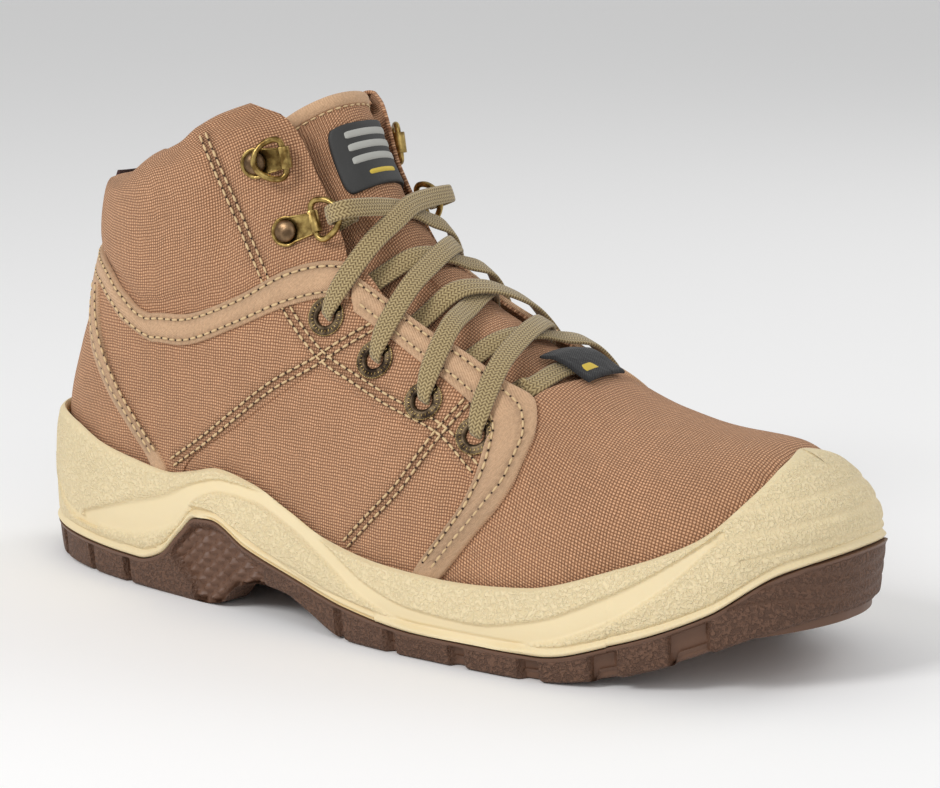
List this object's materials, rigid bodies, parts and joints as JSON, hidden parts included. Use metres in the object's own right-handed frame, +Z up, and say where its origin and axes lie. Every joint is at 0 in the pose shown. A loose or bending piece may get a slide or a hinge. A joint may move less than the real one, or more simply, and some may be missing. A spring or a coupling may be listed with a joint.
{
  "type": "steel toe work boot",
  "caption": "Ankle-high laced safety boot for the right foot: canvas upper over a steel toe cap, padded collar, two-layer moulded sole and swinging lace rings.",
  "frame": {"origin": "on the ground, under the middle of the whole boot: halfway between the heel and the toe and halfway between the two sides", "axes": "+X from the heel to the toe, -Y to the outer (lateral) side of the foot, +Z up"},
  "size_m": [0.3082, 0.1147, 0.1635],
  "materials": {
    "canvas": "heavy woven cotton canvas, dry",
    "beige_leather": "fine-grained split leather, satin",
    "cream_polyurethane": "moulded polyurethane, leather grain with smooth grooves",
    "brown_rubber": "moulded rubber, leather grain",
    "plain_steel": "pressed sheet, unpainted",
    "fibre_board": "pressed fibre board",
    "footbed_felt": "needle felt",
    "lining_mesh": "knitted spacer mesh",
    "collar_foam": "open-cell foam",
    "antique_metal": "dark antique plating worn to brass on the rim",
    "brass": "antique brass, semi-gloss",
    "lace_cord": "flat woven polyester",
    "black_rubber": "soft moulded rubber, matt",
    "black_webbing": "woven tape",
    "dark_webbing": "woven tape",
    "clear_film": "heat-shrunk film"
  },
  "bodies": {
    "boot": {"outsole": "brown_rubber", "midsole": "cream_polyurethane", "puncture_plate": "plain_steel", "steel_toe_cap": "plain_steel", "insole_board": "fibre_board", "heel_counter": "fibre_board", "footbed": "footbed_felt", "vamp": "canvas", "heel_patch": "canvas", "tongue": "canvas", "lace_keeper": "canvas", "ankle_panel_lateral": "canvas", "ankle_panel_medial": "canvas", "quarter_lateral": "canvas", "quarter_medial": "canvas", "quarter_rear_lateral": "canvas", "quarter_rear_medial": "canvas", "eyestay_lateral": "canvas", "eyestay_medial": "canvas", "collar_band": "beige_leather", "tongue_binding": "beige_leather", "facing_band_lateral": "beige_leather", "facing_band_medial": "beige_leather", "heel_trim_lateral": "beige_leather", "heel_trim_medial": "beige_leather", "vamp_lining": "lining_mesh", "lining": "lining_mesh", "toe_cap_edge_strip": "black_rubber", "tongue_label": "black_rubber", "lace_loop": "black_webbing", "pull_tab": "dark_webbing", "collar_padding_lateral": "collar_foam", "collar_padding_medial": "collar_foam", "eyelet_lateral_1": "antique_metal", "eyelet_lateral_2": "antique_metal", "eyelet_lateral_3": "antique_metal", "eyelet_lateral_4": "antique_metal", "rivet_lateral_upper": "brass", "d_ring_clip_lateral_upper": "brass", "rivet_lateral_lower": "brass", "d_ring_clip_lateral_lower": "brass", "aglet_lateral": "clear_film", "eyelet_medial_1": "antique_metal", "eyelet_medial_2": "antique_metal", "eyelet_medial_3": "antique_metal", "eyelet_medial_4": "antique_metal", "rivet_medial_upper": "brass", "d_ring_clip_medial_upper": "brass", "rivet_medial_lower": "brass", "d_ring_clip_medial_lower": "brass", "aglet_medial": "clear_film", "lace": "lace_cord"},
    "ring_lateral_upper": {"d_ring_lateral_upper": "brass"},
    "ring_lateral_lower": {"d_ring_lateral_lower": "brass"},
    "ring_medial_upper": {"d_ring_medial_upper": "brass"},
    "ring_medial_lower": {"d_ring_medial_lower": "brass"}
  },
  "joints": [
    {"name": "d_ring_lateral_upper_swing", "type": "hinge", "parent": "boot", "child": "ring_lateral_upper", "pos_m": [-0.03475, -0.03097, 0.14423], "axis": [0.2131, 0.0276, -0.9766], "range_deg": [-160, 0]},
    {"name": "d_ring_lateral_lower_swing", "type": "hinge", "parent": "boot", "child": "ring_lateral_lower", "pos_m": [-0.02413, -0.0295, 0.12468], "axis": [0.3697, -0.08, -0.9257], "range_deg": [-4, 5]},
    {"name": "d_ring_medial_upper_swing", "type": "hinge", "parent": "boot", "child": "ring_medial_upper", "pos_m": [-0.03469, 0.02684, 0.14417], "axis": [-0.2017, 0.0454, 0.9784], "range_deg": [-160, 0]},
    {"name": "d_ring_medial_lower_swing", "type": "hinge", "parent": "boot", "child": "ring_medial_lower", "pos_m": [-0.02405, 0.02466, 0.12459], "axis": [-0.3563, -0.0484, 0.9331], "range_deg": [-4, 5]}
  ]
}
